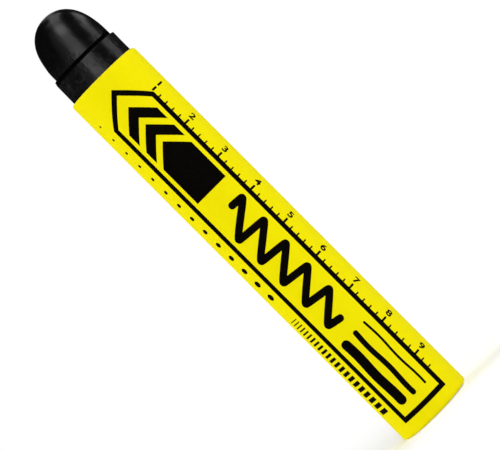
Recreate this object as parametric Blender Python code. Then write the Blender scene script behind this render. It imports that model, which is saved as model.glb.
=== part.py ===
"""A solid paint stick in a wound paper sleeve, at its real size.

Metres, +Z up. The stick stands on its base: the origin is the centre of the base, and +Z runs along the
stick to its nose. The front of the label faces -Y, and the label's lapped seam runs down the back.
"""

import math

import bmesh
import bpy

MM = 0.001
FULL_TURN = 2 * math.pi

# Lengths along the stick, from the base up
SLEEVE_LENGTH = 102.6 * MM
COLLAR_LENGTH = 5.7 * MM  # bare paint from the sleeve to the shoulder
GROOVE_WIDTH = 0.8 * MM  # shallow groove at the foot of the nose
NECK_LENGTH = 0.6 * MM  # straight part of the nose above the groove
DOME_HEIGHT = 10.95 * MM

# The cast paint
CORE_DIAMETER = 17.0 * MM
BASE_CHAMFER = 0.3 * MM
SHOULDER_STEP = 0.72 * MM  # width of the ledge between collar and nose
SHOULDER_BEVEL = 0.22 * MM
GROOVE_DEPTH = 0.12 * MM
DOME_FULLNESS = 2.2  # 2 gives an ellipse, more gives a blunter nose

# The dried skin over the bare end
SKIN_THICKNESS = 0.35 * MM
SKIN_GAP = 0.1 * MM
SKIN_TUCK = 0.5 * MM  # how far the skin reaches down into the sleeve

# The paper sleeve, from the inside out
CORE_CLEARANCE = 0.08 * MM
LINER_THICKNESS = 0.08 * MM
LINER_SEAM = 0.4 * MM  # gap where the liner's two edges meet
PASTE_LINE = 0.04 * MM  # between liner and board, and between the board's turns
BOARD_THICKNESS = 0.22 * MM
BOARD_TURNS = 2
BOARD_CLIMB = 6.0 * MM  # arc in which the sheet climbs over its own first edge
LABEL_THICKNESS = 0.09 * MM
LABEL_CLIMB = 4.0 * MM  # arc in which the label climbs onto its own first edge
BASE_LIP_RADIUS = 0.6 * MM  # the label is turned over the sleeve's lower edge
TOP_LIP_RADIUS = 0.45 * MM  # and over its upper edge
LIP_CURL = math.radians(75)
FLAP_CURL = math.radians(10)  # the lapped flap is trimmed back from both edges

# The two glue strips that hold the label
GLUE_THICKNESS = 0.05 * MM
GLUE_CLEARANCE = 0.02 * MM
GLUE_WIDTH = 3.2 * MM
GLUE_EDGE = 0.9 * MM  # from a strip to the label's edge beside it
GLUE_END = 2.0 * MM  # from a strip to the sleeve's ends

# Where the seams lie, counted round from +X towards +Y
LABEL_SEAM = math.radians(80)
BOARD_SEAM = math.radians(150)
LINER_SEAM_AT = math.radians(210)

# Fineness of the facets
SIDES = 72
DOME_RINGS = 11
LIP_STEPS = 3

# Worked out from the sizes above
CORE_RADIUS = CORE_DIAMETER / 2
NOSE_RADIUS = CORE_RADIUS - SHOULDER_STEP
SHOULDER_HEIGHT = SLEEVE_LENGTH + COLLAR_LENGTH
DOME_FOOT = SHOULDER_HEIGHT + GROOVE_WIDTH + NECK_LENGTH
SKIN_FOOT = SLEEVE_LENGTH - SKIN_TUCK
LINER_INNER = CORE_RADIUS + CORE_CLEARANCE
BOARD_INNER = LINER_INNER + LINER_THICKNESS + PASTE_LINE
BOARD_PITCH = BOARD_THICKNESS + PASTE_LINE
BOARD_OUTER = BOARD_INNER + BOARD_TURNS * BOARD_PITCH - PASTE_LINE
LABEL_BED = GLUE_THICKNESS + 2 * GLUE_CLEARANCE
LABEL_INNER = BOARD_OUTER + LABEL_BED
LABEL_OUTER = LABEL_INNER + LABEL_THICKNESS
LAP_WIDTH = GLUE_WIDTH + 2 * GLUE_EDGE


def clear_scene():
    for obj in list(bpy.data.objects):
        bpy.data.objects.remove(obj)


def add_group(name):
    """An empty on the stick's axis that carries the pieces which move together."""
    group = bpy.data.objects.new(name, None)
    bpy.context.scene.collection.objects.link(group)
    return group


def make_material(name, colour, roughness):
    material = bpy.data.materials.new(name)
    material.use_nodes = True
    shader = material.node_tree.nodes["Principled BSDF"]
    shader.inputs["Base Color"].default_value = (*colour, 1.0)
    shader.inputs["Roughness"].default_value = roughness
    shader.inputs["Metallic"].default_value = 0.0
    return material


def add_piece(name, bm, material, group):
    """Turn a finished mesh into the named piece, with its faces pointing out."""
    bmesh.ops.recalc_face_normals(bm, faces=bm.faces)
    mesh = bpy.data.meshes.new(name)
    bm.to_mesh(mesh)
    bm.free()
    mesh.materials.append(material)
    mesh.shade_smooth()
    mesh.set_sharp_from_angle(angle=math.radians(30))
    piece = bpy.data.objects.new(name, mesh)
    bpy.context.scene.collection.objects.link(piece)
    piece.parent = group
    return piece


def turned(outline, closed):
    """Spin an outline of (radius, height) points round the stick's axis."""
    bm = bmesh.new()
    verts = [bm.verts.new((radius, 0, height)) for radius, height in outline]
    pairs = list(zip(verts, verts[1:]))
    if closed:
        pairs.append((verts[-1], verts[0]))
    edges = [bm.edges.new(pair) for pair in pairs if any(v.co.x > 0 for v in pair)]
    bmesh.ops.spin(bm, geom=verts + edges, axis=(0, 0, 1), angle=FULL_TURN, steps=SIDES, use_merge=True)
    bmesh.ops.remove_doubles(bm, verts=bm.verts, dist=0.001 * MM)
    return bm


def wound(angles, outlines):
    """Join one closed outline of (radius, height) points to the next, angle by angle, and cap both ends."""
    bm = bmesh.new()
    loops = []
    for angle, outline in zip(angles, outlines):
        loops.append([bm.verts.new((r * math.cos(angle), r * math.sin(angle), z)) for r, z in outline])
    for here, there in zip(loops, loops[1:]):
        for i in range(len(here)):
            bm.faces.new((here[i - 1], here[i], there[i], there[i - 1]))
    bm.faces.new(loops[0])
    bm.faces.new(reversed(loops[-1]))
    return bm


def steps_round(start, end):
    """Angles from start to end, on the facets that all the round pieces share in between."""
    step = FULL_TURN / SIDES
    first = math.floor(start / step + 0.01) + 1
    last = math.ceil(end / step - 0.01) - 1
    return [start] + [step * i for i in range(first, last + 1)] + [end]


def ramp(value, start, end):
    """0 up to start, 1 from end on, and a smooth rise in between."""
    share = min(max((value - start) / (end - start), 0.0), 1.0)
    return share * share * (3 - 2 * share)


def bare_end(inset):
    """Outline of the bare end, set in by this much: collar, shoulder, groove, neck and dome, up to the tip."""
    collar = CORE_RADIUS - inset
    neck = NOSE_RADIUS - inset
    ledge = SHOULDER_HEIGHT - inset
    height = DOME_HEIGHT - inset
    outline = [
        (collar, ledge - SHOULDER_BEVEL),
        (collar - SHOULDER_BEVEL, ledge),
        (neck - GROOVE_DEPTH, ledge),
        (neck - GROOVE_DEPTH, SHOULDER_HEIGHT + GROOVE_WIDTH / 2),
        (neck, SHOULDER_HEIGHT + GROOVE_WIDTH),
    ]
    power = 2 / DOME_FULLNESS
    for i in range(DOME_RINGS):
        rise = math.pi / 2 * i / DOME_RINGS
        outline.append((neck * math.cos(rise) ** power, DOME_FOOT + height * math.sin(rise) ** power))
    outline.append((0, DOME_FOOT + height))
    return outline


def make_paint_core(group):
    """The cast paint: a rod the length of the sleeve, stepped in under the skin at its bare end."""
    inset = SKIN_THICKNESS + SKIN_GAP
    outline = [
        (0, 0),
        (CORE_RADIUS - BASE_CHAMFER, 0),
        (CORE_RADIUS, BASE_CHAMFER),
        (CORE_RADIUS, SKIN_FOOT - SKIN_GAP),
        (CORE_RADIUS - inset, SKIN_FOOT - SKIN_GAP),
    ]
    bm = turned(outline + bare_end(inset), closed=False)
    return add_piece("paint_core", bm, make_material("cast_paint", (0.012, 0.012, 0.012), 0.5), group)


def make_nose_skin(group):
    """The film that dries over the bare paint and seals it, an even shell from the sleeve to the tip."""
    outer = [(CORE_RADIUS, SKIN_FOOT)] + bare_end(0)
    inner = [(CORE_RADIUS - SKIN_THICKNESS, SKIN_FOOT)] + bare_end(SKIN_THICKNESS)
    bm = turned(outer + inner[::-1], closed=True)
    return add_piece("nose_skin", bm, make_material("dried_paint", (0.01, 0.01, 0.01), 0.35), group)


def make_liner(group):
    """Greaseproof paper between paint and board: one turn, its edges butted."""
    outline = [
        (LINER_INNER, 0),
        (LINER_INNER + LINER_THICKNESS, 0),
        (LINER_INNER + LINER_THICKNESS, SLEEVE_LENGTH),
        (LINER_INNER, SLEEVE_LENGTH),
    ]
    angles = steps_round(LINER_SEAM_AT, LINER_SEAM_AT + FULL_TURN - LINER_SEAM / LINER_INNER)
    bm = wound(angles, [outline] * len(angles))
    return add_piece("liner", bm, make_material("greaseproof_paper", (0.62, 0.53, 0.38), 0.6), group)


def lip_room(radius, lip_radius):
    """How far the board stays back from the sleeve's end at this radius, inside the label's turned lip."""
    reach = radius - (LABEL_OUTER - lip_radius)
    if reach <= 0:
        return 0.0
    inner = lip_radius - LABEL_THICKNESS - LABEL_BED
    return lip_radius - math.sqrt(max(inner * inner - reach * reach, 0.0))


def make_board_tube(group):
    """The stiff tube: one sheet of board wound round on itself, so that its cut edge is a spiral."""
    climb = BOARD_CLIMB / BOARD_INNER
    angles = steps_round(BOARD_SEAM, BOARD_SEAM + FULL_TURN * BOARD_TURNS - climb)
    outlines = []
    for angle in angles:
        turns = (angle - BOARD_SEAM) / FULL_TURN
        whole = math.floor(turns + 1e-9)
        climbed = ramp((turns - whole) * FULL_TURN, FULL_TURN - climb, FULL_TURN)
        inner = BOARD_INNER + BOARD_PITCH * (whole + climbed)
        outer = inner + BOARD_THICKNESS
        outlines.append([
            (inner, lip_room(inner, BASE_LIP_RADIUS)),
            (outer, lip_room(outer, BASE_LIP_RADIUS)),
            (outer, SLEEVE_LENGTH - lip_room(outer, TOP_LIP_RADIUS)),
            (inner, SLEEVE_LENGTH - lip_room(inner, TOP_LIP_RADIUS)),
        ])
    bm = wound(angles, outlines)
    return add_piece("board_tube", bm, make_material("grey_board", (0.36, 0.29, 0.2), 0.9), group)


def label_outline(outer, curl):
    """Section of the label at one angle: an upright wall whose ends curl in over the sleeve's edges."""
    bends = [curl * i / LIP_STEPS for i in range(LIP_STEPS + 1)]
    sides = []
    for inset in (0, LABEL_THICKNESS):
        low = BASE_LIP_RADIUS
        high = TOP_LIP_RADIUS
        side = []
        for bend in reversed(bends):
            side.append((outer - low + (low - inset) * math.cos(bend), low - (low - inset) * math.sin(bend)))
        for bend in bends:
            top = SLEEVE_LENGTH - high + (high - inset) * math.sin(bend)
            side.append((outer - high + (high - inset) * math.cos(bend), top))
        sides.append(side)
    return sides[0] + sides[1][::-1]


def make_printed_label(group):
    """The paper label: one turn, with a flap that laps over its own first edge at the back."""
    climb = LABEL_CLIMB / LABEL_INNER
    angles = steps_round(LABEL_SEAM, LABEL_SEAM + FULL_TURN + LAP_WIDTH / LABEL_OUTER)
    outlines = []
    for angle in angles:
        lapped = ramp(angle - LABEL_SEAM, FULL_TURN - climb, FULL_TURN)
        outer = LABEL_OUTER + lapped * (LABEL_THICKNESS + LABEL_BED)
        outlines.append(label_outline(outer, LIP_CURL + lapped * (FLAP_CURL - LIP_CURL)))
    bm = wound(angles, outlines)
    return add_piece("printed_label", bm, make_material("yellow_label", (0.86, 0.76, 0.004), 0.5), group)


def make_glue_strip(name, under, group):
    """A strip of glue along the sleeve, in the bed above this radius, just past the label's first edge."""
    low = under + GLUE_CLEARANCE
    outline = [
        (low, GLUE_END),
        (low + GLUE_THICKNESS, GLUE_END),
        (low + GLUE_THICKNESS, SLEEVE_LENGTH - GLUE_END),
        (low, SLEEVE_LENGTH - GLUE_END),
    ]
    start = LABEL_SEAM + GLUE_EDGE / LABEL_OUTER
    angles = steps_round(start, start + GLUE_WIDTH / LABEL_OUTER)
    bm = wound(angles, [outline] * len(angles))
    return add_piece(name, bm, make_material(name, (0.75, 0.7, 0.55), 0.4), group)


def main():
    clear_scene()
    stick = add_group("stick")
    make_paint_core(stick)
    make_nose_skin(stick)
    sleeve = add_group("sleeve")
    make_liner(sleeve)
    make_board_tube(sleeve)
    make_printed_label(sleeve)
    make_glue_strip("pickup_glue", BOARD_OUTER, sleeve)
    make_glue_strip("lap_glue", LABEL_OUTER, sleeve)


if __name__ == "__main__":
    main()
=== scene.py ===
import math

import bmesh
import bpy
import numpy as np
from bpy.props import FloatProperty, FloatVectorProperty, IntProperty, PointerProperty
from mathutils import Matrix, Vector


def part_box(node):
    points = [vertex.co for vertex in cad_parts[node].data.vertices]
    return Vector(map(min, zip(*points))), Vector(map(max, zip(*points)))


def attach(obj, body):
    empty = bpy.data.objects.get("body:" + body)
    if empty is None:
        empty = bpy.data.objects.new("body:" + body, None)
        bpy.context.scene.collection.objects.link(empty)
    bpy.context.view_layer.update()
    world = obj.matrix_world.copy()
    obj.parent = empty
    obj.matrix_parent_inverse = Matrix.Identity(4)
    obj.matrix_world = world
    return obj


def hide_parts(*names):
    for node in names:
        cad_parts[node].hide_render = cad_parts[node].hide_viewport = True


bl_info = {
    "name": "Paint Stick",
    "version": (1, 0, 0),
    "blender": (4, 5, 0),
    "location": "View3D > Sidebar > Paint Stick",
    "description": "Cast paint with a dried skin, in a wound paper sleeve with a printed label",
    "category": "Object",
}

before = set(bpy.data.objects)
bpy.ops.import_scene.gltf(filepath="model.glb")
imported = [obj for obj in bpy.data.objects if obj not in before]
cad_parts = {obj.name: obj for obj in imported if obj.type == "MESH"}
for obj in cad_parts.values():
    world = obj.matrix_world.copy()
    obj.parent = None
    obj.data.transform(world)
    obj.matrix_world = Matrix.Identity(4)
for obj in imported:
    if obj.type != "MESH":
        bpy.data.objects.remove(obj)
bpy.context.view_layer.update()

MM = 0.001
UP = (0, 0, 1)
QUARTER_TURN = math.pi / 2
FULL_TURN = 2 * math.pi
WELD = 1e-7  # points closer than this are merged
CREASE = math.radians(38)  # edges that turn more than this stay sharp
SIDES = 240  # points round the paint and its skin
WHOLE_TURN_SLACK = 1e-9  # a turn this close to whole counts as whole

# Boxes of the solids, which give the main sizes
PAINT_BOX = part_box("paint_core")
SKIN_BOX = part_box("nose_skin")
LINER_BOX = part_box("liner")
BOARD_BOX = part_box("board_tube")
LABEL_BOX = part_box("printed_label")

# Angles count round from +X towards +Y, so the front of the label, at -Y, is at three quarters of a turn
FRONT = 1.5 * math.pi
LABEL_SEAM = math.radians(80)
BOARD_SEAM = math.radians(150)
LINER_SEAM = math.radians(210)

# Details of the paint
TIP_DROP = 0.15 * MM  # how far the tip is under the top of the solid's box
AXIS_FADE = 2 * MM  # waves die out this close to the axis
EDGE_TURN = math.radians(66)  # how far the collar's upper edge turns over before the groove
RUN_OUT = (0.28, 0.52)  # sines of the angles from the X axis between which the groove opens
SHADE_SMEAR_REACH = (0.72, 0.9)  # shares of the radius, towards +X, between which the groove's painted shade runs up the nose
LEAN_START = (110.5 * MM, 112.5 * MM)  # heights between which the dome's lean sets in
LEAN_MIDDLE = 116.2 * MM  # height at which the lean changes its side
LEAN_RATE = 600  # radians of the lean's wave in a metre
SEAM_MARK_WIDTH = 0.25 * MM
PLAIN_FOOT = 2 * MM  # the rod's waves grow over this height

# Details of the sleeve
FULL_CURL = math.radians(75)  # furthest turn of the label's lips
FLAP_CURL = math.radians(55)  # their turn on the flap
FLAP_BEND = 0.7  # share of the lap at which the flap starts to stand off
SAG_PLACE = math.radians(48)  # where the board's outer edge is, counted from the label's seam
SAG_WIDTH = math.radians(9)
DENT_REACH = 6 * MM  # height up to which the dent in the base reaches

# Slow waves: times round, radians in a metre along the stick, start, and weight
ROD_WAVES = ((2, 60, 0.0, 0.3),)
ROD_SWELL = 170  # radians in a metre of the swell that the rod's waves are multiplied by
SKIN_WAVES = ((3, 420, 0.6, 1.0), (5, -640, 2.1, 0.8), (2, 900, 4.0, 0.6))
LABEL_WAVES = ((3, 55, 0.4, 1.0), (5, -90, 1.9, 0.6))

# The stage
MIDDLE = Vector((0, 0, 60 * MM))  # point that the lamps face
FLOOR_TOP = -0.02 * MM  # just under the base
FLOOR_BOTTOM = -5 * MM
FLOOR_RING = 0.5  # radius of a ring in the floor's face
FOOT_FADE = 0.4 * MM  # width of the ring in which the light under the sleeve's edge fades
CARD_THICKNESS = 3 * MM
CARDS = (("left_card", -180, -18), ("right_card", 28, 180))  # start and end in degrees, as azimuths

# Lamps: foot and head as azimuth and elevation in degrees, distance, width, and whether a shine shows them
LAMPS = (
    ("front_lamp", (2, -3), (4, 6), 1.3, 0.75, True),
    ("middle_strip", (8, 6), (16, 40), 1.3, 0.7, True),
    ("high_strip", (16, 40), (28, 62), 1.3, 0.65, True),
    ("top_strip", (28, 62), (135, 68), 1.3, 0.5, True),
    ("back_strip", (135, 68), (157, 50), 1.3, 0.5, True),
    ("rim_strip", (178, 16), (172, 52), 1.3, 0.3, True),
    ("side_strip", (87, -4), (92, 27), 1.2, 0.54, True),
    ("far_strip", (95, 26), (133, 27), 1.2, 0.3, True),
    ("left_glow", (-34, -4), (-32, 63), 1.3, 0.5, True),
    ("left_fill", (-105, -2), (-105, 45), 2.0, 1.6, False),
)


def made_of(kind, **rest):
    """A maker of properties of this kind, from a name, a description and a default."""
    return lambda name, description, default: kind(
        name=name, description=description, default=default, **rest
    )


metres = made_of(FloatProperty, min=0.0, unit="LENGTH", precision=5)
share = made_of(FloatProperty, min=0.0, max=1.0, subtype="FACTOR")
watts = made_of(FloatProperty, min=0.0, unit="POWER")
colour = made_of(FloatVectorProperty, size=3, min=0.0, max=1.0, subtype="COLOR")
point = made_of(FloatVectorProperty, size=3, subtype="TRANSLATION", unit="LENGTH")


def mm(name, description, size):
    """A length given in millimetres."""
    return metres(name, description, size * MM)


class StickPaint(bpy.types.PropertyGroup):
    """Sizes and colours of the cast paint and of the skin that dries on its bare end."""

    radius: metres("Paint radius", "Radius of the rod and the collar", PAINT_BOX[1].x)
    skin_foot: metres("Skin foot", "Height at which the dried skin starts", SKIN_BOX[0].z)
    tip: metres("Tip", "Height of the nose's tip", SKIN_BOX[1].z - TIP_DROP)
    shoulder_step: mm("Shoulder step", "How far the nose's foot is set in from the collar", 0.72)
    shoulder_round: mm("Shoulder rounding", "Rounding of the collar's upper edge", 0.12)
    groove_low: mm("Groove foot", "Lower edge of the groove round the shoulder", 107.88)
    groove_width: mm("Groove width", "Width of that groove", 0.94)
    groove_depth: mm("Groove depth", "Depth of that groove below the nose", 0.38)
    # Painted shade: the groove's dead black without shine is run this far up the nose at +X
    groove_smear: mm("Groove smear", "How far the groove's black runs up the nose at +X", 0.6)
    edge_wear: mm("Edge wear", "How far the collar's upper edge is worn in at -X", 0.2)
    neck_length: mm("Neck length", "Straight part of the nose above the groove", 0.9)
    dome_fullness: FloatProperty(
        name="Dome fullness", description="2 is an ellipse, more is blunter", default=2.2, min=1.5, max=4.0
    )
    dome_lean: mm("Dome lean", "How much the dome is fuller near its tip, at -X", 0.09)
    skin_thickness: mm("Skin thickness", "Thickness of the dried skin", 0.35)
    skin_gap: mm("Skin gap", "Space between the skin and the paint", 0.1)
    base_round: mm("Base rounding", "Rounding of the rod's lower edge", 0.3)
    base_dish: mm("Base dish", "How far the struck face sinks at its middle", 0.15)
    unevenness: mm("Unevenness", "Height of the slow waves in the dried skin", 0.018)
    seam_mark: mm("Seam mark", "Height of the line that the liner's seam leaves on the rod", 0.03)
    cast_colour: colour("Cast paint", "Paint in the rod", (0.006, 0.006, 0.006))
    bloom_colour: colour("Bloom", "Dull bloom on the cast paint", (0.04, 0.04, 0.041))
    skin_colour: colour("Dried skin", "Dried skin", (0.002, 0.002, 0.0021))
    dust_colour: colour("Rubbed places", "Rubbed and dusty places of the skin", (0.015, 0.015, 0.0155))


class StickSleeve(bpy.types.PropertyGroup):
    """Sizes and colours of the paper sleeve, from the inside out."""

    length: metres("Sleeve length", "Length of the sleeve", LINER_BOX[1].z)
    liner_outer: metres("Liner radius", "Outer radius of the liner", LINER_BOX[1].x)
    liner_thickness: mm("Liner thickness", "Thickness of the greaseproof paper", 0.08)
    liner_gap: mm("Liner seam", "Gap where the liner's edges meet", 0.4)
    board_outer: metres("Board radius", "Outer radius of the board's last turn", BOARD_BOX[1].x)
    board_thickness: mm("Board thickness", "Thickness of the board", 0.22)
    paste_line: mm("Paste line", "Space between the board's turns", 0.04)
    board_climb: mm("Board climb", "Arc in which the board climbs over its first edge", 6.0)
    board_turns: IntProperty(name="Board turns", description="Turns of the board", default=2, min=1, max=6)
    label_outer: metres("Label radius", "Outer radius of the label", LABEL_BOX[1].x)
    label_thickness: mm("Label thickness", "Thickness of the label's paper", 0.09)
    label_bed: mm("Glue bed", "Space under the label for its glue", 0.09)
    label_climb: mm("Label climb", "Arc in which the label climbs onto its first edge", 4.0)
    lap_width: mm("Lap width", "Width of the label's lapped seam", 5.0)
    base_lip: mm("Base lip", "Radius of the label's turn over the lower edge, at -X", 0.8)
    base_lip_worn: mm("Worn base lip", "The same at +X, where the edge is rounder", 1.0)
    top_lip: mm("Top lip", "Radius of the label's turn over the upper edge, at -X", 0.45)
    top_lip_worn: mm("Worn top lip", "The same at +X, where the edge is rounder", 0.88)
    lip_reach: mm("Lip reach", "How far in from its face the label may turn", 0.66)
    base_dent: mm("Base dent", "How far the lower edge is pushed up at +X", 0.25)
    flap_lift: mm("Flap lift", "How far the flap's edge stands off", 0.07)
    flap_wear: mm("Flap wear", "Width of the worn strip along the flap's edge", 0.4)
    sag: mm("Sag", "How far the label sinks in beside the board's outer edge", 0.05)
    unevenness: mm("Unevenness", "Height of the slow waves in the label", 0.008)
    yellow: colour("Label yellow", "Printed ground of the label", (0.863, 0.761, 0.0008))
    paper: colour("Paper", "Bare paper on the label's back and cut edges", (0.78, 0.74, 0.64))
    board: colour("Board", "Bare board", (0.36, 0.29, 0.2))
    liner: colour("Greaseproof paper", "Liner of the sleeve", (0.62, 0.53, 0.38))
    glue: colour("Glue", "Dried paper glue", (0.75, 0.7, 0.55))


class StickPrint(bpy.types.PropertyGroup):
    """Sizes and colour of the print on the label."""

    ink: colour("Ink", "Printing ink", (0.0013, 0.001, 0.0007))
    ink_height: mm("Ink height", "How far the ink stands proud of the paper", 0.015)
    ink_root: mm("Ink root", "How far the ink sinks into the paper", 0.012)
    shift: mm("Print shift", "How far the print sits from the front, towards -X", 0.68)
    frame_low: mm("Frame foot", "Lower end of the printed frame", 3.3)
    frame_high: mm("Frame head", "Upper end of the printed frame", 98.5)
    frame_half: mm("Frame half width", "From the frame's middle to its outside", 6.6)
    frame_line: mm("Frame line", "Width of the frame's line", 1.2)
    arrow_half: mm("Arrow half width", "Half width of the arrows in the frame", 4.4)
    arrow_band: mm("Arrow band", "Length of the open arrows' bands", 3.2)
    arrow_block: mm("Arrow block", "Length of the filled arrow", 14.8)
    tick_pitch: mm("Tick pitch", "Distance of the scale's ticks", 2.0)
    numeral_size: mm("Numeral size", "Size of the scale's numbers", 2.9)
    numeral_weight: mm("Numeral weight", "How far the numbers' outlines are moved out", 0.09)
    growth: mm("Growth", "How much wider each bar and dot is than the last", 0.045)


class StickStage(bpy.types.PropertyGroup):
    """Camera, lamps and floor."""

    camera_place: point("Camera place", "Where the camera stands", (0.0, -0.687, 0.0647))
    camera_aim: point("Camera aim", "Point that the camera looks at", (-0.000086, 0.0, 0.0572))
    camera_roll: FloatProperty(
        name="Camera roll", description="Turn of the camera about its line of sight",
        default=math.radians(44.965), subtype="ANGLE",
    )
    camera_lens: FloatProperty(
        name="Lens", description="Focal length of the camera", default=227.6, min=1.0, unit="CAMERA"
    )
    floor_colour: colour("Floor", "Colour of the floor", (0.9, 0.9, 0.9))
    floor_radius: metres("Floor radius", "Radius of the round floor", 8.0)
    near_lift: share("Near lift", "Light added to the floor at the stick, so that it looks white", 0.09)
    far_lift: share("Far lift", "Light added to the far floor, which the lamps reach less", 0.77)
    lift_reach: metres("Lift reach", "Distance from the stick at which the far lift holds", 2.0)
    foot_lift: share("Foot lift", "Light added to the floor right under the sleeve's turned edge", 0.55)
    sky_light: share("Sky light", "Light of the surroundings on matt surfaces", 0.28)
    front_lamp: watts("Front lamp", "Lamp at the camera", 1.75)
    middle_strip: watts("Middle strip", "Lower part of the strip above the camera", 2.3)
    high_strip: watts("High strip", "Upper part of that strip", 4.0)
    top_strip: watts("Top strip", "Strip over the top", 2.9)
    back_strip: watts("Back strip", "Strip down the back, on the right", 0.9)
    rim_strip: watts("Rim strip", "Strip behind, for the rim of the tip", 0.3)
    side_strip: watts("Side strip", "Strip on the right", 2.1)
    far_strip: watts("Far strip", "Strip further round on the right", 1.3)
    left_glow: watts("Left glow", "Weak strip on the left", 0.7)
    left_fill: watts("Left fill", "Wide lamp on the left, for matt surfaces", 22.0)
    card_radius: metres("Card radius", "Distance of the dark cards from the stick", 1.6)
    card_height: metres("Card height", "Height of the dark cards", 9.0)
    card_colour: colour("Dark cards", "Cards that the shine of the paint shows", (0.015, 0.015, 0.015))


# Surfaces


def ramp(value, start, end):
    """0 up to start, 1 from end on, and a smooth rise in between."""
    part = np.clip((value - start) / (end - start), 0.0, 1.0)
    return part * part * (3 - 2 * part)


def slow_waves(angle, height, waves):
    """Sum of sine waves that run round and along the stick."""
    return sum(
        weight * np.sin(times * angle + rate * height + start) for times, rate, start, weight in waves
    )


def no_waves(angle, height):
    """Nothing to add to a turned outline."""
    return 0.0, 0.0


def grid_faces(rows, columns, closed_rows=False, closed_columns=False):
    """Corner numbers of the squares between neighbours of a grid whose points are counted row by row."""
    numbers = np.arange(rows * columns).reshape(rows, columns)
    if closed_rows:
        numbers = np.vstack([numbers, numbers[:1]])
    if closed_columns:
        numbers = np.hstack([numbers, numbers[:, :1]])
    corners = (numbers[:-1, :-1], numbers[1:, :-1], numbers[1:, 1:], numbers[:-1, 1:])
    return np.stack(corners, axis=-1).reshape(-1, 4)


def facing_out(points, groups):
    """The faces, turned over if the body's volume, a sum of tetrahedra to the origin, is negative."""
    volume = 0.0
    for faces in groups:
        for corner in range(1, faces.shape[1] - 1):
            first, second, third = (points[faces[:, i]] for i in (0, corner, corner + 1))
            volume += np.einsum("ij,ij->", first, np.cross(second, third))
    return groups if volume > 0 else [faces[:, ::-1] for faces in groups]


def closed_sheet(top, bottom, faces):
    """A thin closed body: faces on the top points, the same turned over on the bottom ones, and a wall
    along every edge that only one face uses."""
    count = len(top)
    edges = np.stack([faces, np.roll(faces, -1, axis=1)], axis=-1).reshape(-1, 2)
    there = edges[:, 0] * count + edges[:, 1]
    back = edges[:, 1] * count + edges[:, 0]
    rim = edges[~np.isin(there, back)]
    walls = np.column_stack([rim[:, 1], rim[:, 0], rim[:, 0] + count, rim[:, 1] + count])
    points = np.vstack([top, bottom])
    return points, facing_out(points, [faces, faces[:, ::-1] + count, walls])


def slab(top, bottom):
    """The closed body between two grids of points of the same size."""
    faces = grid_faces(*top.shape[:2])
    return closed_sheet(top.reshape(-1, 3), bottom.reshape(-1, 3), faces)


def joined(shapes):
    """Several bodies as one list of points and one list of face groups."""
    starts = np.cumsum([0] + [len(points) for points, _ in shapes[:-1]])
    points = np.vstack([points for points, _ in shapes])
    groups = [faces + start for (_, parts), start in zip(shapes, starts) for faces in parts]
    return points, groups


def round_points(radius, angle, height):
    """Points at this radius and angle round the stick's axis, at this height."""
    radius, angle, height = np.broadcast_arrays(radius, angle, height)
    return np.stack([radius * np.cos(angle), radius * np.sin(angle), height], axis=-1)


def tube(outer, inner, angle, height):
    """The closed body between two radii, over a column of angles and a row of heights."""
    return slab(round_points(outer, angle, height), round_points(inner, angle, height))


def turned(outlines, sides, closed=False):
    """A turned body: each (radius, height) point of the outlines, one after the other, becomes a ring, and
    an outline's own waves give what is added to the radius and to the height. Rings on the axis shrink to
    one point. A closed outline comes back to its start."""
    angle = np.linspace(0, FULL_TURN, sides, endpoint=False)[None, :]
    rings = []
    for outline, waves in outlines:
        radius, height = outline[:, :1], outline[:, 1:]
        fade = np.clip(radius / AXIS_FADE, 0, 1)
        aside, lift = waves(angle, height)
        rings.append(round_points(radius + fade * aside, angle, height + fade * lift))
    points = np.vstack(rings).reshape(-1, 3)
    radius = np.concatenate([outline[:, 0] for outline, _ in outlines])
    faces = grid_faces(len(radius), sides, closed_rows=closed, closed_columns=True)
    off_axis = np.repeat(radius > 0, sides)
    faces = faces[off_axis[faces].any(axis=1)]
    return points, facing_out(points, [faces])


def straight(start, end, steps):
    """Evenly spaced points from start up to, and without, end."""
    part = np.linspace(0, 1, steps, endpoint=False)[:, None]
    return np.array(start) * (1 - part) + np.array(end) * part


def arc(centre, radius, start, end, steps):
    """Points on an arc of a circle in the (radius, height) plane, both ends included."""
    angle = np.linspace(start, end, steps)
    return np.column_stack([centre[0] + radius * np.cos(angle), centre[1] + radius * np.sin(angle)])


def groove_radius(paint, inset, height):
    """Radius in the groove: a straight line in from the collar to its bottom, and one out to the nose."""
    collar = paint.radius - inset
    neck = collar - paint.shoulder_step
    heights = paint.groove_low - inset + (paint.groove_width + inset) * np.array([0, 0.5, 1])
    return np.interp(height, heights, [collar, neck - paint.groove_depth, neck])


def bare_end(paint, inset, fineness):
    """Outline of the bare end, set in by this much. Collar: upright, with a rounded upper edge. Groove: see
    groove_radius. Neck: upright. Dome: radius cos^(2/p) and height sin^(2/p) of an angle from 0 to a
    quarter turn, p being the fullness."""
    collar = paint.radius - inset
    neck = collar - paint.shoulder_step
    low = paint.groove_low - inset
    high = paint.groove_low + paint.groove_width
    edge = paint.shoulder_round
    foot = high + paint.neck_length
    groove = np.linspace(low, high, 6 * fineness + 1)
    dome = np.linspace(0, QUARTER_TURN, 20 * fineness)
    exponent = 2 / paint.dome_fullness
    dome_radius = neck * np.clip(np.cos(dome), 0, 1) ** exponent
    dome_radius[-1] = 0.0
    return np.vstack([
        straight((collar, paint.skin_foot), (collar, low - edge), 8 * fineness),
        arc((collar - edge, low - edge), edge, 0, EDGE_TURN, 3 * fineness),
        np.column_stack([groove_radius(paint, inset, groove), groove])[1:],
        straight((neck, high), (neck, foot), 2 * fineness)[1:],
        np.column_stack([dome_radius, foot + (paint.tip - inset - foot) * np.sin(dome) ** exponent]),
    ])


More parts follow.
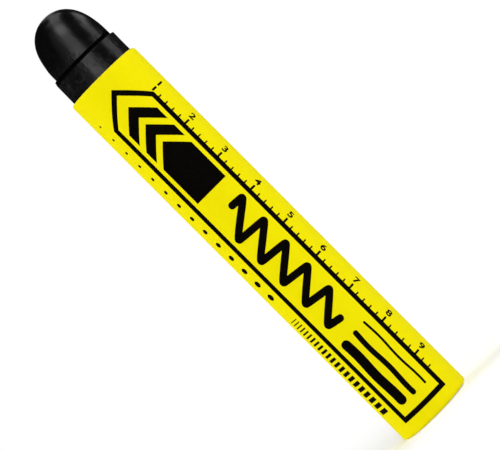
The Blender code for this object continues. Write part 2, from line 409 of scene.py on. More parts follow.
def groove_fill(paint, angle, height):
    """What closes the groove on two sides: by a smooth ramp round the stick, its radius goes at -X to the
    collar's, worn in by a smooth ramp towards its upper edge, and at +X to the nose's."""
    low, high = paint.groove_low, paint.groove_low + paint.groove_width
    inside = (height > low) & (height < high + WELD)
    filled = 1 - ramp(np.abs(np.sin(angle)), *RUN_OUT)
    worn = paint.radius - paint.edge_wear * ramp(height, low, high)
    flush = np.where(np.cos(angle) < 0, worn, paint.radius - paint.shoulder_step)
    return np.where(inside, filled * (flush - groove_radius(paint, 0.0, height)), 0.0)


def in_groove(paint, places):
    """True for places that get the groove's painted shade: the groove, and a wedge above it that grows by a
    smooth ramp towards +X.
    """
    start, end = SHADE_SMEAR_REACH
    smear = paint.groove_smear * ramp(places[:, 0], start * paint.radius, end * paint.radius)
    above = places[:, 2] - paint.groove_low
    return (above > 0) & (above < paint.groove_width + smear)


def rightness(angle):
    """1 at +X, 0 at -X, and a cosine wave in between."""
    return (1 + np.cos(angle)) / 2


def lip_radii(sleeve, angle):
    """Radii of the lower and the upper lip, from the value at -X to that at +X by a squared cosine wave."""
    part = rightness(angle) ** 2
    low = sleeve.base_lip + (sleeve.base_lip_worn - sleeve.base_lip) * part
    high = sleeve.top_lip + (sleeve.top_lip_worn - sleeve.top_lip) * part
    return low, high


def base_rise(sleeve, angle, height):
    """How far the base is pushed up: most at +X, less round the stick by the cube of a cosine wave, and
    less up it by a smooth ramp."""
    return sleeve.base_dent * rightness(angle) ** 3 * (1 - ramp(height, 0, DENT_REACH))


def lapped(sleeve, angle):
    """0 on the label's first turn, 1 on the flap, and a smooth ramp where it climbs onto the first edge."""
    climb = sleeve.label_climb / sleeve.label_outer
    return ramp(angle - LABEL_SEAM, FULL_TURN - climb, FULL_TURN)


def label_radius(sleeve, angle, height):
    """Outer radius of the label: its plain radius, raised on the flap and, by a smooth ramp, at its end,
    lowered by a bell curve beside the board's outer edge, with slow sine waves."""
    turn = angle - LABEL_SEAM
    on_flap = lapped(sleeve, angle)
    flap = sleeve.lap_width / sleeve.label_outer
    loose = ramp(turn, FULL_TURN + FLAP_BEND * flap, FULL_TURN + flap)
    sag = np.exp(-(((turn - SAG_PLACE) / SAG_WIDTH) ** 2))
    waves = slow_waves(angle, height, LABEL_WAVES) * (1 - on_flap)
    raised = on_flap * (sleeve.label_thickness + sleeve.label_bed) + loose * sleeve.flap_lift
    return sleeve.label_outer + raised - sleeve.sag * sag + sleeve.unevenness * waves


def label_face(sleeve, inset, angle, wall_steps=48, lip_steps=9):
    """One face of the label, set in by this much. Along the section: a circle's arc curls in over the base,
    the wall stands straight, and another arc curls in over the top. An arc ends where it has reached in far
    enough, and the flap curls less than the rest."""
    on_flap = lapped(sleeve, angle)
    part = np.linspace(0, 1, lip_steps)[None, :]

    def bend(lip):
        """Angles along a lip's arc, out from the wall."""
        full = np.arccos(np.maximum(1 - sleeve.lip_reach / lip, math.cos(FULL_CURL)))
        return part * (full + on_flap * (FLAP_CURL - full))

    low, high = lip_radii(sleeve, angle)
    low_bend, high_bend = bend(low)[:, ::-1], bend(high)
    wall = low + (sleeve.length - high - low) * np.linspace(0, 1, wall_steps)[None, 1:-1]
    set_back = np.hstack([
        -low + (low - inset) * np.cos(low_bend),
        np.full(wall.shape, -inset),
        -high + (high - inset) * np.cos(high_bend),
    ])
    height = np.hstack([
        low - (low - inset) * np.sin(low_bend),
        wall,
        sleeve.length - high + (high - inset) * np.sin(high_bend),
    ])
    radius = label_radius(sleeve, angle, height) + set_back
    return round_points(radius, angle, height + base_rise(sleeve, angle, height))


def lip_room(sleeve, radius, lip):
    """How far the board stays back from the sleeve's end at this radius: outside the lip's centre, by the
    circle that runs inside the label's turned lip."""
    reach = radius - (sleeve.label_outer - lip)
    inner = lip - sleeve.label_thickness - sleeve.label_bed
    curve = lip - np.sqrt(np.clip(inner * inner - reach * reach, 0, None))
    return np.where(reach > 0, curve, 0.0)


def drawn(along, across, ring=False):
    """A flat drawing on a grid: spots, each a height along the stick and an arc round it, counted from the
    front towards +X, and faces. The last row of a ring is joined to its first."""
    along, across = np.broadcast_arrays(along, across)
    faces = grid_faces(*along.shape, closed_rows=ring)
    return np.column_stack([along.ravel(), across.ravel()]), faces


def patch(low, high, left, right):
    """Drawing of a rectangle, from height low to high and arc left to right."""
    return drawn(np.array([[low], [high]]), np.linspace(left, right, 6)[None, :])


def dot(height, place, radius):
    """Drawing of a round dot: a square grid, drawn in by the root of 1 less half the square of the other
    side, so that its edge is a circle."""
    side = np.linspace(-1, 1, 9)
    along, across = side[:, None], side[None, :]
    up = radius * along * np.sqrt(1 - across**2 / 2)
    aside = radius * across * np.sqrt(1 - along**2 / 2)
    return drawn(height + up, place + aside)


def arrow(middle, half, front, back, back_slope):
    """Drawing of a band across the stick with an arrow's front edge: its height falls by the distance from
    the middle. The back edge falls by back_slope times that distance."""
    across = np.linspace(-half, half, 25)[:, None]
    ahead = front - np.abs(across)
    behind = back - back_slope * np.abs(across)
    along = ahead + (behind - ahead) * np.linspace(0, 1, 4)[None, :]
    return drawn(along, middle + across)


def stroke(path, half_width):
    """Drawing of a pen stroke: each point of the path is moved to both sides along the path's normal, and
    the width closes at both ends in half circles."""
    steps = np.linalg.norm(np.diff(path, axis=0), axis=1)
    run = np.concatenate([[0], np.cumsum(steps)])
    to_end = np.minimum(run, run[-1] - run) / half_width
    half = half_width * np.sqrt(np.clip(1 - np.clip(1 - to_end, 0, 1) ** 2, 0, 1))
    tangent = np.gradient(path, axis=0)
    tangent /= np.linalg.norm(tangent, axis=1, keepdims=True)
    normal = np.column_stack([-tangent[:, 1], tangent[:, 0]])
    aside = half[:, None] * np.linspace(-1, 1, 5)[None, :]
    along, across = (path[:, [axis]] + aside * normal[:, [axis]] for axis in (0, 1))
    return drawn(along, across)


def ring_line(corners, width, steps=30):
    """Drawing of a closed line of this width through these corners, with mitred joints."""
    ahead = np.roll(corners, -1, axis=0) - corners
    ahead /= np.linalg.norm(ahead, axis=1, keepdims=True)
    normal = np.column_stack([-ahead[:, 1], ahead[:, 0]])
    before = np.roll(normal, 1, axis=0)
    mitre = (normal + before) / (1 + np.sum(normal * before, axis=1, keepdims=True))
    part = np.linspace(0, 1, steps, endpoint=False)[None, :]

    def run(values):
        """Steps from each corner's value to the next one's."""
        return (values[:, None] * (1 - part) + np.roll(values, -1)[:, None] * part).reshape(-1, 1)

    offset = width * np.linspace(-0.5, 0.5, 3)[None, :]
    along, across = (run(corners[:, axis]) + offset * run(mitre[:, axis]) for axis in (0, 1))
    return drawn(along, across, ring=True)


def mend(mesh, cuts=None):
    """Merge a mesh's doubled points. With cuts, split it into triangles, edges halved this many times."""
    bm = bmesh.new()
    bm.from_mesh(mesh)
    bmesh.ops.remove_doubles(bm, verts=bm.verts, dist=WELD)
    if cuts is not None:
        bmesh.ops.triangulate(bm, faces=bm.faces)
        for _ in range(cuts):
            bmesh.ops.subdivide_edges(bm, edges=bm.edges, cuts=1, use_grid_fill=True)
        bmesh.ops.triangulate(bm, faces=bm.faces)
    bm.to_mesh(mesh)
    bm.free()


def numeral(marks, text, height, place):
    """Drawing of a number in plain type, read from the nose down with its top towards +X, in triangles
    small enough to follow the label."""
    curve = bpy.data.curves.new("numeral", "FONT")
    curve.body = text
    curve.size = marks.numeral_size
    curve.offset = marks.numeral_weight
    curve.align_x = "CENTER"
    curve.align_y = "CENTER"
    curve.resolution_u = 4
    writer = bpy.data.objects.new("numeral", curve)
    mesh = bpy.data.meshes.new_from_object(writer)
    mend(mesh, cuts=2)
    flat = np.empty(3 * len(mesh.vertices))
    mesh.vertices.foreach_get("co", flat)
    faces = np.empty(3 * len(mesh.polygons), dtype=int)
    mesh.polygons.foreach_get("vertices", faces)
    bpy.data.objects.remove(writer)
    bpy.data.curves.remove(curve)
    bpy.data.meshes.remove(mesh)
    right, up, _ = flat.reshape(-1, 3).T
    return np.column_stack([height - right, place + up]), faces.reshape(-1, 3)


def inked(sleeve, marks, spots, faces):
    """A thin body of ink: a flat drawing wrapped round the label just above its face and just below it."""
    height, across = spots.T
    angle = FRONT + across / sleeve.label_outer
    face = label_radius(sleeve, angle, height)
    lifts = (marks.ink_height, -marks.ink_root)
    return closed_sheet(*(round_points(face + lift, angle, height) for lift in lifts), faces)


def add_object(context, name, data, axes=None, place=(0, 0, 0)):
    """Put an object into the scene, at this place and turned so that its own axes point along these."""
    made = bpy.data.objects.new(name, data)
    context.scene.collection.objects.link(made)
    if axes is not None:
        made.matrix_world = Matrix.Translation(place) @ Matrix(axes).transposed().to_4x4()
    return made


def add_piece(context, name, shape, materials, numbers=(0,)):
    """Put a body into the scene as a named piece: doubled points merged, smooth, with its true edges sharp.
    numbers gives the material of each face group, or of all of them."""
    points, groups = shape
    mesh = bpy.data.meshes.new(name)
    mesh.from_pydata(points.tolist(), [], [face for faces in groups for face in faces.tolist()])
    for material in materials:
        mesh.materials.append(material)
    counts = [len(faces) for faces in groups]
    of_groups = np.broadcast_to(numbers, len(groups))
    mesh.polygons.foreach_set("material_index", np.repeat(of_groups, counts))
    mend(mesh)
    mesh.shade_smooth()
    mesh.set_sharp_from_angle(angle=CREASE)
    return add_object(context, name, mesh)


# Finishes


class Finish:
    """A material or a world, with tools that add its nodes. From place on, each gives back one output."""

    def __init__(self, owner, shader):
        owner.use_nodes = True
        self.owner = owner
        self.shader = owner.node_tree.nodes[shader]

    def feed(self, inputs, target=None):
        """Set inputs of a node, or else of the shader: values are written, outputs of nodes are linked.
        The material or world comes back."""
        target = target or self.shader
        for key, value in inputs.items():
            if isinstance(value, bpy.types.NodeSocket):
                self.owner.node_tree.links.new(value, target.inputs[key])
            else:
                target.inputs[key].default_value = value
        return self.owner

    def node(self, kind, inputs, **settings):
        """Outputs of a new node with these settings and inputs."""
        made = self.owner.node_tree.nodes.new("ShaderNode" + kind)
        for key, value in settings.items():
            setattr(made, key, value)
        self.feed(inputs, made)
        return made.outputs

    def place(self):
        """Place on the piece, in metres."""
        return self.node("TexCoord", {})["Object"]

    def along(self, direction):
        """Distance from the origin in this direction, in metres."""
        return self.node("VectorMath", {0: self.place(), 1: direction}, operation="DOT_PRODUCT")["Value"]

    def grain(self, size, stretch=1, detail=3.0):
        """Noise round about 0.5 on the piece's own coordinates, in spots drawn out along the stick."""
        scale = (1 / size, 1 / size, 1 / (size * stretch))
        mapped = self.node("Mapping", {"Vector": self.place(), "Scale": scale})["Vector"]
        noise = {"Vector": mapped, "Scale": 1.0, "Detail": detail, "Roughness": 0.55}
        return self.node("TexNoise", noise)["Fac"]

    def spread(self, value, start, end, low=0.0, high=1.0):
        """low where the value is at or under start, high from end on, and a straight line in between."""
        inputs = {"Value": value, "From Min": start, "From Max": end, "To Min": low, "To Max": high}
        return self.node("MapRange", inputs)["Result"]

    def reckoned(self, operation, first, *others):
        """Values taken together one after the other."""
        for other in others:
            first = self.node("Math", {0: first, 1: other}, operation=operation)["Value"]
        return first

    def product(self, *values):
        """All values multiplied."""
        return self.reckoned("MULTIPLY", *values)

    def highest(self, *values):
        """The largest of the values."""
        return self.reckoned("MAXIMUM", *values)

    def blended(self, part, one, other):
        """One colour where part is 0, the other where it is 1."""
        return self.node("Mix", {0: part, 6: one, 7: other}, data_type="RGBA")[2]

    def shades(self, part, tint, low, high):
        """A colour times low where part is 0, and times high where it is 1."""
        return self.blended(part, opaque(tint, low), opaque(tint, high))

    def relief(self, height, depth, under=None):
        """A bump of this depth in metres, on top of another bump."""
        inputs = {"Height": height, "Distance": depth, "Strength": 1.0}
        if under is not None:
            inputs["Normal"] = under
        return self.node("Bump", inputs)["Normal"]

    def seen_or_mirrored(self):
        """1 for rays from the camera and for mirrored or refracted rays, otherwise 0."""
        rays = self.node("LightPath", {})
        return self.highest(rays["Is Camera Ray"], rays["Is Glossy Ray"], rays["Is Transmission Ray"])


def opaque(tint, strength=1.0):
    """A colour with full cover, made lighter or darker."""
    return (*(min(1.0, part * strength) for part in tint), 1.0)


def new_finish(name, base, roughness, specular):
    """A material whose shader has these plain values."""
    made = Finish(bpy.data.materials.new(name), "Principled BSDF")
    made.feed({"Base Color": opaque(base), "Roughness": roughness, "Specular IOR Level": specular})
    return made


def dried_paint_finish(paint):
    """Satin black film: faint drawn-out flow marks, fine pits, a little dust on rubbed places, and patches
    of short drag marks on the collar and the dome's foot, left by handling."""
    skin = new_finish("dried_paint_film", paint.skin_colour, roughness=0.33, specular=0.25)
    flow = skin.grain(2.2 * MM, stretch=3.5)
    rubbed = skin.spread(skin.grain(0.9 * MM, stretch=1.6, detail=5.0), 0.62, 0.8, high=0.3)
    fading, gone = paint.groove_low + 2 * MM, paint.groove_low + 5 * MM
    handled = skin.spread(skin.along(UP), fading, gone, low=1.0, high=0.0)
    patches = skin.spread(skin.grain(2.6 * MM, detail=2.0), 0.4, 0.6)
    lines = skin.spread(skin.grain(0.6 * MM, stretch=2.6), 0.4, 0.7)
    marks = skin.relief(skin.product(handled, patches, lines), 0.05 * MM)
    waves = skin.relief(flow, 0.045 * MM, marks)
    return skin.feed({
        "Base Color": skin.blended(rubbed, opaque(paint.skin_colour), opaque(paint.dust_colour)),
        "Roughness": skin.spread(flow, 0.3, 0.7, low=0.2, high=0.28),
        "Normal": skin.relief(skin.grain(0.22 * MM, detail=2.0), 0.002 * MM, waves),
    })


def groove_finish(paint):
    """Matt black paint in the groove, made dead black with no shine at all as painted shade of the crevice:
    slightly mottled and pitted.
    """
    # painted shade: no shine at all, so that the groove and the wedge above it read as the crevice's shade
    matt = new_finish("matt_groove_paint", paint.skin_colour, roughness=0.95, specular=0.0)
    mottle = matt.grain(0.4 * MM, detail=4.0)
    return matt.feed({
        "Base Color": matt.shades(mottle, paint.skin_colour, 0.6, 1.2),
        "Normal": matt.relief(mottle, 0.02 * MM),
    })


def cast_paint_finish(paint):
    """Waxy matt paint: a mottled bloom, wiped into streaks by drag marks along the rod."""
    wax = new_finish("cast_paint_wax", paint.cast_colour, roughness=0.5, specular=0.15)
    mottle = wax.grain(1.6 * MM, detail=4.0)
    dragged = wax.grain(0.35 * MM, stretch=40, detail=2.0)
    bloom = wax.product(wax.spread(mottle, 0.42, 0.68), wax.spread(dragged, 0.38, 0.64, low=0.1, high=0.9))
    return wax.feed({
        "Base Color": wax.blended(bloom, opaque(paint.cast_colour), opaque(paint.bloom_colour)),
        "Roughness": wax.spread(mottle, 0.3, 0.7, low=0.42, high=0.6),
        "Normal": wax.relief(dragged, 0.03 * MM, wax.relief(mottle, 0.02 * MM)),
    })


def flap_edge(coated, sleeve):
    """1 at the outer edge of the label's flap, falling to 0 over the worn strip, and 0 elsewhere."""
    end = LABEL_SEAM + sleeve.lap_width / sleeve.label_outer
    past = coated.along((-math.sin(end), math.cos(end), 0))
    near = coated.along((math.cos(end), math.sin(end), 0))
    strip = coated.spread(past, -sleeve.flap_wear, 0.0)
    on_flap = coated.spread(past, 0.01 * MM, 0.03 * MM, low=1.0, high=0.0)
    return coated.product(strip, on_flap, coated.spread(near, 0.0, MM))


def label_finish(sleeve):
    """Coated paper printed yellow: slight mottle of the ink, fine paper grain, and pale wear on both turned
    ends and along the flap's edge."""
    coated = new_finish("yellow_coated_paper", sleeve.yellow, roughness=0.7, specular=0.03)
    mottle = coated.spread(coated.grain(1.1 * MM, detail=4.0), 0.3, 0.7)
    height = coated.along(UP)
    base_end = coated.spread(height, 0.0, 0.35 * MM, low=1.0, high=0.0)
    top_end = coated.spread(height, sleeve.length - 0.2 * MM, sleeve.length)
    fibres = coated.spread(coated.grain(0.5 * MM, stretch=0.5, detail=4.0), 0.5, 0.65, high=0.5)
    worn = coated.product(coated.highest(flap_edge(coated, sleeve), base_end, top_end), fibres)
    ground = coated.shades(mottle, sleeve.yellow, 0.975, 1.0)
    return coated.feed({
        "Base Color": coated.blended(worn, ground, opaque(sleeve.paper)),
        "Roughness": coated.spread(mottle, 0.0, 1.0, low=0.66, high=0.74),
        "Normal": coated.relief(coated.grain(0.16 * MM, stretch=2), 0.002 * MM),
    })


def bare_paper_finish(sleeve):
    """Uncoated back and cut edge of the label: off white with short fibres."""
    bare = new_finish("bare_label_paper", sleeve.paper, roughness=0.8, specular=0.2)
    fibres = bare.grain(0.12 * MM, stretch=5, detail=4.0)
    return bare.feed({
        "Base Color": bare.shades(fibres, sleeve.paper, 0.85, 1.0),
        "Normal": bare.relief(fibres, 0.006 * MM),
    })


def board_finish(sleeve):
    """Grey brown board: coarse fibres, specks and a layered cut edge."""
    board = new_finish("wound_grey_board", sleeve.board, roughness=0.9, specular=0.2)
    fibres = board.grain(0.18 * MM, stretch=4, detail=5.0)
    specks = board.spread(board.grain(0.25 * MM, detail=2.0), 0.62, 0.72, high=0.6)
    ground = board.shades(fibres, sleeve.board, 0.7, 1.25)
    return board.feed({
        "Base Color": board.blended(specks, ground, opaque(sleeve.board, 0.35)),
        "Normal": board.relief(fibres, 0.02 * MM),
    })


def greaseproof_finish(sleeve):
    """Dense tan paper with a dull shine and faint oil clouds."""
    dense = new_finish("tan_greaseproof_paper", sleeve.liner, roughness=0.5, specular=0.4)
    clouds = dense.grain(5 * MM)
    fibres = dense.grain(0.1 * MM, stretch=6)
    ground = dense.shades(dense.spread(clouds, 0.35, 0.65), sleeve.liner, 0.8, 1.0)
    dark = opaque(sleeve.liner, 0.6)
    return dense.feed({
        "Base Color": dense.blended(dense.spread(fibres, 0.4, 0.8, high=0.3), ground, dark),
        "Roughness": dense.spread(clouds, 0.35, 0.65, low=0.4, high=0.58),
        "Normal": dense.relief(fibres, 0.003 * MM),
    })


def glue_finish(sleeve):
    """Dried cream glue with brush lines along the strip."""
    glue = new_finish("dried_paper_glue", sleeve.glue, roughness=0.35, specular=0.4)
    lines = glue.grain(0.15 * MM, stretch=30, detail=2.0)
    return glue.feed({
        "Base Color": glue.shades(lines, sleeve.glue, 0.75, 1.0),
        "Normal": glue.relief(lines, 0.01 * MM),
    })


def ink_finish(marks):
    """Black printing ink, laid unevenly, so that it is a little lighter in small patches."""
    ink = new_finish("black_printing_ink", marks.ink, roughness=0.6, specular=0.012)
    laid = ink.spread(ink.grain(0.5 * MM, detail=4.0), 0.4, 0.75)
    return ink.feed({
        "Base Color": ink.shades(laid, marks.ink, 1.0, 2.2),
        "Roughness": ink.spread(laid, 0.0, 1.0, low=0.55, high=0.68),
    })


def floor_finish(stage):
    """White floor: matt, with light added only where the camera sees it or a shine shows it, more of it
    further from the stick and right under the sleeve's turned edge."""
    floor = new_finish("white_floor", stage.floor_colour, roughness=0.9, specular=0.0)
    away = floor.node("VectorMath", {0: floor.place()}, operation="LENGTH")["Value"]
    around = floor.spread(away, 0.0, stage.lift_reach, stage.near_lift, stage.far_lift)
    edge = LABEL_BOX[1].x
    under = floor.spread(away, edge - FOOT_FADE, edge, stage.foot_lift, 0.0)
    lift = floor.product(floor.seen_or_mirrored(), floor.highest(around, under))
    return floor.feed({"Emission Color": (1, 1, 1, 1), "Emission Strength": lift})


# Operators, one for each piece or group of like pieces


class STICK_OT_paint_core(bpy.types.Operator):
    """Cast rod of paint, with its struck base and the body of the nose"""

    bl_idname = "paint_stick.paint_core"
    bl_label = "Cast Paint"

    def execute(self, context):
        paint = context.scene.stick_paint
        inset = paint.skin_thickness + paint.skin_gap
        edge = paint.base_round
        ring = np.linspace(0, paint.radius - edge, 24)
        dish = paint.base_dish * (1 - (ring / ring[-1]) ** 2)
        top = paint.skin_foot - paint.skin_gap
        nose = bare_end(paint, inset, fineness=2)
        outline = np.vstack([
            np.column_stack([ring, dish]),
            arc((paint.radius - edge, edge), edge, -QUARTER_TURN, 0, steps=7)[1:],
            straight((paint.radius, edge), (paint.radius, top), steps=80)[1:],
            straight((paint.radius, top), (paint.radius - inset, top), steps=3),
            straight((paint.radius - inset, top), nose[0], steps=2),
            nose,
        ])

        def waves(angle, height):
            """A bell curve along the liner's seam, slow sine waves, and the dent at the base."""
            away = (angle - LINER_SEAM) * paint.radius / SEAM_MARK_WIDTH
            slow = slow_waves(angle, height, ROD_WAVES) * np.sin(ROD_SWELL * height)
            aside = paint.seam_mark * (np.exp(-away * away) + slow) * ramp(height, 0, PLAIN_FOOT)
            return aside, base_rise(context.scene.stick_sleeve, angle, height)

        shape = turned([(outline, waves)], SIDES)
        piece = add_piece(context, "cast_paint_rod", shape, [cast_paint_finish(paint)])
        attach(piece, "stick")
        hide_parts("paint_core")
        return {"FINISHED"}


class STICK_OT_nose_skin(bpy.types.Operator):
    """Dried skin over the bare nose and collar"""

    bl_idname = "paint_stick.nose_skin"
    bl_label = "Dried Skin"

    def execute(self, context):
        paint = context.scene.stick_paint
        outer = bare_end(paint, 0.0, fineness=4)
        inner = bare_end(paint, paint.skin_thickness, fineness=2)

        def waves(angle, height):
            """Slow sine waves, as in a film that shrank as it dried, and at -X one more up the dome."""
            grown = ramp(height, paint.skin_foot, paint.skin_foot + MM)
            up_dome = np.sin(LEAN_RATE * (height - LEAN_MIDDLE)) * ramp(height, *LEAN_START)
            leaning = paint.dome_lean * np.clip(-np.cos(angle), 0, 1) ** 2 * up_dome
            return paint.unevenness * slow_waves(angle, height, SKIN_WAVES) * grown + leaning, 0.0

        def outer_waves(angle, height):
            """The waves, and what closes the groove on two sides."""
            aside, lift = waves(angle, height)
            return aside + groove_fill(paint, angle, height), lift

        points, (faces,) = turned([(outer, outer_waves), (inner[::-1], waves)], SIDES, closed=True)
        # faces in the groove and the wedge above it get the groove's painted shade
        matt = in_groove(paint, points[faces].mean(axis=1))
        shape = points, [faces[~matt], faces[matt]]
        finishes = [dried_paint_finish(paint), groove_finish(paint)]
        piece = add_piece(context, "dried_skin", shape, finishes, (0, 1))
        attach(piece, "stick")
        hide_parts("nose_skin")
        return {"FINISHED"}


class STICK_OT_liner(bpy.types.Operator):
    """Greaseproof liner, one turn with butted edges"""

    bl_idname = "paint_stick.liner"
    bl_label = "Liner"

    def execute(self, context):
        sleeve = context.scene.stick_sleeve
        outer = sleeve.liner_outer
        gap = sleeve.liner_gap / outer
        angle = np.linspace(LINER_SEAM, LINER_SEAM + FULL_TURN - gap, 241)[:, None]
        close, wide = np.linspace(0, DENT_REACH, 9), np.linspace(2 * DENT_REACH, sleeve.length, 5)
        height = np.concatenate([close, wide])[None, :]
        height = height + base_rise(sleeve, angle, height)
        shape = tube(outer, outer - sleeve.liner_thickness, angle, height)
        piece = add_piece(context, "greaseproof_liner", shape, [greaseproof_finish(sleeve)])
        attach(piece, "sleeve")
        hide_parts("liner")
        return {"FINISHED"}


class STICK_OT_board_tube(bpy.types.Operator):
    """Board tube, one sheet wound round on itself"""

    bl_idname = "paint_stick.board_tube"
    bl_label = "Board Tube"

    def execute(self, context):
        sleeve = context.scene.stick_sleeve
        pitch = sleeve.board_thickness + sleeve.paste_line
        first = sleeve.board_outer - sleeve.board_turns * pitch + sleeve.paste_line
        climb = sleeve.board_climb / first
        turn = np.linspace(0, FULL_TURN * sleeve.board_turns - climb, 181 * sleeve.board_turns)[:, None]
        whole = np.floor(turn / FULL_TURN + WHOLE_TURN_SLACK)
        climbed = ramp(turn - whole * FULL_TURN, FULL_TURN - climb, FULL_TURN)
        inner = first + pitch * (whole + climbed)
        angle = BOARD_SEAM + turn
        close, wide = np.linspace(0, 0.06, 9), np.linspace(0.12, 1, 7)
        part = np.concatenate([close, wide])[None, :]

        def face(radius):
            """The sheet's face at this radius, between the rooms left at the base's lip and the top's."""
            low, high = (lip_room(sleeve, radius, lip) for lip in lip_radii(sleeve, angle))
            height = low + (sleeve.length - high - low) * part
            return round_points(radius, angle, height + base_rise(sleeve, angle, height))

        shape = slab(face(inner + sleeve.board_thickness), face(inner))
        piece = add_piece(context, "wound_board", shape, [board_finish(sleeve)])
        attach(piece, "sleeve")
        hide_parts("board_tube")
        return {"FINISHED"}


class STICK_OT_label(bpy.types.Operator):
    """Yellow label, one turn with a lapped seam, turned over both ends of the sleeve"""

    bl_idname = "paint_stick.label"
    bl_label = "Label"

    def execute(self, context):
        sleeve = context.scene.stick_sleeve
        lap = sleeve.lap_width / sleeve.label_outer
        angle = np.linspace(LABEL_SEAM, LABEL_SEAM + FULL_TURN + lap, 320)[:, None]
        shape = slab(*(label_face(sleeve, inset, angle) for inset in (0.0, sleeve.label_thickness)))
        finishes = [label_finish(sleeve), bare_paper_finish(sleeve)]
        piece = add_piece(context, "yellow_label", shape, finishes, (0, 1, 1))
        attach(piece, "sleeve")
        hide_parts("printed_label")
        return {"FINISHED"}


class STICK_OT_glue(bpy.types.Operator):
    """Finish of the two glue strips, whose solids stay"""

    bl_idname = "paint_stick.glue"
    bl_label = "Glue"

    def execute(self, context):
        material = glue_finish(context.scene.stick_sleeve)
        for name in ("pickup_glue", "lap_glue"):
            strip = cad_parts[name]
            strip.data.materials.clear()
            strip.data.materials.append(material)
        return {"FINISHED"}


def add_print(context, name, drawings):
    """Put flat drawings into the scene in ink, as one piece that moves with the sleeve."""
    sleeve, marks = context.scene.stick_sleeve, context.scene.stick_print
    material = bpy.data.materials.get("black_printing_ink") or ink_finish(marks)
    shape = joined([inked(sleeve, marks, *drawing) for drawing in drawings])
    piece = add_piece(context, name, shape, [material])
    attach(piece, "sleeve")


class STICK_OT_print_frame(bpy.types.Operator):
    """Printed frame in the shape of a long arrow, and the arrows inside it"""

    bl_idname = "paint_stick.print_frame"
    bl_label = "Printed Frame"

    def execute(self, context):
        marks = context.scene.stick_print
        middle = -marks.shift
        half = marks.frame_half - marks.frame_line / 2
        low = marks.frame_low + marks.frame_line / 2
        high = marks.frame_high - marks.frame_line / 2
        corners = np.array([
            (low, middle - half),
            (high - half, middle - half),
            (high, middle),
            (high - half, middle + half),
            (low, middle + half),
        ])
        band, block = marks.arrow_band, marks.arrow_block
        drawings = [ring_line(corners, marks.frame_line)]
        for tip, length, back_slope in ((93.6, band, 1), (88.4, band, 1), (83.2, block, 0)):
            front = tip * MM
            drawings.append(arrow(middle, marks.arrow_half, front, front - length, back_slope))
        add_print(context, "print_frame", drawings)
        return {"FINISHED"}


class STICK_OT_print_strokes(bpy.types.Operator):
    """Printed samples of marks: a zigzag and three lines of growing width"""

    bl_idname = "paint_stick.print_strokes"
    bl_label = "Printed Strokes"

    def execute(self, context):
        middle = -context.scene.stick_print.shift
        top, length, widest, narrowing = 63 * MM, 34 * MM, 3.7 * MM, 0.9 * MM
        swings, slant, sharpness = 5.08, 0.35, 0.985
        part = np.linspace(0, 1, 700)
        swing = np.arcsin(sharpness * np.sin(FULL_TURN * swings * part)) / math.asin(sharpness)
        reach = widest - narrowing * part
        along = top - length * part + slant * reach * swing
        zigzag = np.column_stack([along, middle + reach * swing])
        drawings = [stroke(zigzag, half_width=0.85 * MM)]
        run = np.linspace(25.5 * MM, 6.6 * MM, 160)
        sway, rate = 0.12 * MM, 520
        for place, width in ((3.3, 0.55), (0.2, 1.2), (-3.1, 2.3)):
            aside = place * MM + sway * np.sin(run * rate + place)
            line = np.column_stack([run, middle + aside])
            drawings.append(stroke(line, width / 2 * MM))
        add_print(context, "print_strokes", drawings)
        return {"FINISHED"}


class STICK_OT_print_scale(bpy.types.Operator):
    """Printed scale of what is left of the stick, with plain numbers"""

    bl_idname = "paint_stick.print_scale"
    bl_label = "Printed Scale"

    def execute(self, context):
        sleeve, marks = context.scene.stick_sleeve, context.scene.stick_print
        root = marks.frame_half - marks.shift
        to_numeral = 3.1 * MM
        ticks_apart, last_tick = 5, 47
        short, long = (0.17 * MM, 0.85 * MM), (0.25 * MM, 1.5 * MM)  # half width and reach of a tick
        drawings = []
        for tick in range(ticks_apart, last_tick + 1):
            height = sleeve.length - tick * marks.tick_pitch
            half, reach = short if tick % ticks_apart else long
            drawings.append(patch(height - half, height + half, root, root + reach))
        for number in range(1, last_tick // ticks_apart + 1):
            height = sleeve.length - number * ticks_apart * marks.tick_pitch
            drawings.append(numeral(marks, str(number), height, root + to_numeral))
        add_print(context, "print_scale", drawings)
        return {"FINISHED"}


class STICK_OT_print_bars(bpy.types.Operator):
    """Printed bars of growing weight, and a row of growing dots"""

    bl_idname = "paint_stick.print_bars"
    bl_label = "Printed Bars"

    def execute(self, context):
        growth = context.scene.stick_print.growth
        bars, dots = 22, 14
        thinnest, smallest = 0.22 * MM, 0.28 * MM
        drawings = []
        top, left, right, gap = 36 * MM, -11.4 * MM, -8.5 * MM, 0.62 * MM
        for step in range(bars):
            thick = thinnest + growth * step
            drawings.append(patch(top - thick, top, left, right))
            top -= thick + gap
        first, pitch, place = 95 * MM, 4 * MM, -9.6 * MM
        for step in range(dots):
            drawings.append(dot(first - pitch * step, place, smallest + growth * step))
        add_print(context, "print_bars", drawings)
        return {"FINISHED"}


def around(azimuth, elevation, distance):
    """A place round the stick's middle; azimuth counts in degrees from the camera's side towards +X."""
    azimuth, elevation = math.radians(azimuth), math.radians(elevation)
    level = distance * math.cos(elevation)
    away = (level * math.sin(azimuth), -level * math.cos(azimuth), distance * math.sin(elevation))
    return MIDDLE + Vector(away)


def add_lamp(context, name, energy, foot, head, distance, width, shine):
    """A flat lamp that faces the stick, from the direction of its foot to that of its head. Without shine
    it lights surfaces and doesn't show in them."""
    low, high = around(*foot, distance), around(*head, distance)
    middle = (low + high) / 2
    back = (middle - MIDDLE).normalized()
    across = (high - low).cross(back).normalized()
    light = bpy.data.lights.new(name, "AREA")
    light.shape = "RECTANGLE"
    light.size = width
    light.size_y = (high - low).length
    light.energy = energy
    lamp = add_object(context, name, light, (across, back.cross(across), back), middle)
    lamp.visible_camera = False
    lamp.visible_glossy = shine


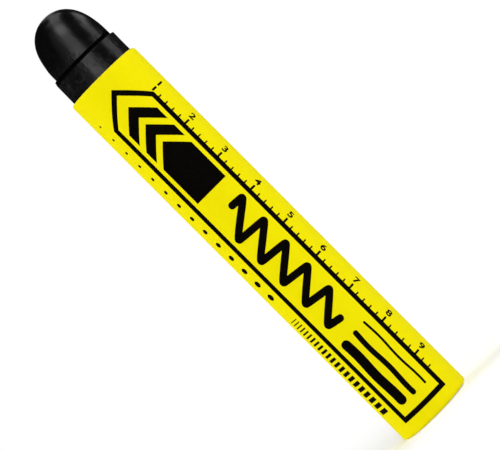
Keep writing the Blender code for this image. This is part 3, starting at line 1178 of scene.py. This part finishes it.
def add_card(context, name, start, end):
    """A dark upright card, part of a cylinder round the stick, that shows only in the stick's shine."""
    stage = context.scene.stick_stage
    angle = np.radians(np.linspace(start, end, 25))[:, None] - QUARTER_TURN
    height = np.linspace(0, stage.card_height, 2)[None, :]
    shape = tube(stage.card_radius + CARD_THICKNESS, stage.card_radius, angle, height)
    material = new_finish("dark_card", stage.card_colour, roughness=0.9, specular=0.0).owner
    card = add_piece(context, name, shape, [material])
    for kind in ("camera", "diffuse", "transmission", "volume_scatter", "shadow"):
        setattr(card, "visible_" + kind, False)


def add_camera(context):
    """The camera, looking at its aim and rolled about its line of sight."""
    stage = context.scene.stick_stage
    place, aim = Vector(stage.camera_place), Vector(stage.camera_aim)
    ahead = (aim - place).normalized()
    level_right = ahead.cross(Vector(UP)).normalized()
    level_up = level_right.cross(ahead)
    roll = stage.camera_roll
    right = math.cos(roll) * level_right - math.sin(roll) * level_up
    up = math.sin(roll) * level_right + math.cos(roll) * level_up
    lens = bpy.data.cameras.new("photo_camera")
    lens.lens = stage.camera_lens
    lens.clip_start = 0.01
    context.scene.camera = add_object(context, "photo_camera", lens, (right, up, -ahead), place)


def set_world(context):
    """Even surroundings: white where seen or mirrored, and dimmer as a light on matt surfaces."""
    sky = Finish(bpy.data.worlds.new("studio"), "Background")
    strength = sky.spread(sky.seen_or_mirrored(), 0, 1, low=context.scene.stick_stage.sky_light)
    context.scene.world = sky.feed({"Color": (1, 1, 1, 1), "Strength": strength})


class STICK_OT_stage(bpy.types.Operator):
    """Camera, lamps, surroundings and floor"""

    bl_idname = "paint_stick.stage"
    bl_label = "Stage"

    def execute(self, context):
        stage = context.scene.stick_stage
        context.scene.view_settings.view_transform = "Standard"
        add_camera(context)
        set_world(context)
        for name, *form in LAMPS:
            add_lamp(context, name, getattr(stage, name), *form)
        for name, start, end in CARDS:
            add_card(context, name, start, end)
        edge = stage.floor_radius
        under = [(0.0, FLOOR_BOTTOM), (edge, FLOOR_BOTTOM)]
        outline = np.array([*under, (edge, FLOOR_TOP), (FLOOR_RING, FLOOR_TOP), (0.0, FLOOR_TOP)])
        shape = turned([(outline, no_waves)], sides=96)
        floor = add_piece(context, "floor", shape, [floor_finish(stage)])
        return {"FINISHED"}


STEPS = (
    STICK_OT_stage,
    STICK_OT_paint_core,
    STICK_OT_nose_skin,
    STICK_OT_liner,
    STICK_OT_board_tube,
    STICK_OT_label,
    STICK_OT_glue,
    STICK_OT_print_frame,
    STICK_OT_print_strokes,
    STICK_OT_print_scale,
    STICK_OT_print_bars,
)
SETTINGS = {
    "stick_paint": StickPaint,
    "stick_sleeve": StickSleeve,
    "stick_print": StickPrint,
    "stick_stage": StickStage,
}


class STICK_PT_build(bpy.types.Panel):
    """Sizes, colours and steps of the paint stick"""

    bl_idname = "STICK_PT_build"
    bl_label = "Paint Stick"
    bl_space_type = "VIEW_3D"
    bl_region_type = "UI"
    bl_category = "Paint Stick"

    def draw(self, context):
        for step in STEPS:
            self.layout.operator(step.bl_idname)
        for name, group in SETTINGS.items():
            box = self.layout.box()
            for key in group.__annotations__:
                box.prop(getattr(context.scene, name), key)


CLASSES = (*SETTINGS.values(), *STEPS, STICK_PT_build)


def register():
    for kind in CLASSES:
        bpy.utils.register_class(kind)
    for name, group in SETTINGS.items():
        setattr(bpy.types.Scene, name, PointerProperty(type=group))


def unregister():
    for name in SETTINGS:
        delattr(bpy.types.Scene, name)
    for kind in reversed(CLASSES):
        bpy.utils.unregister_class(kind)


def main():
    register()
    bpy.ops.paint_stick.stage()
    bpy.ops.paint_stick.paint_core()
    bpy.ops.paint_stick.nose_skin()
    bpy.ops.paint_stick.liner()
    bpy.ops.paint_stick.board_tube()
    bpy.ops.paint_stick.label()
    bpy.ops.paint_stick.glue()
    bpy.ops.paint_stick.print_frame()
    bpy.ops.paint_stick.print_strokes()
    bpy.ops.paint_stick.print_scale()
    bpy.ops.paint_stick.print_bars()


if __name__ == "__main__":
    main()
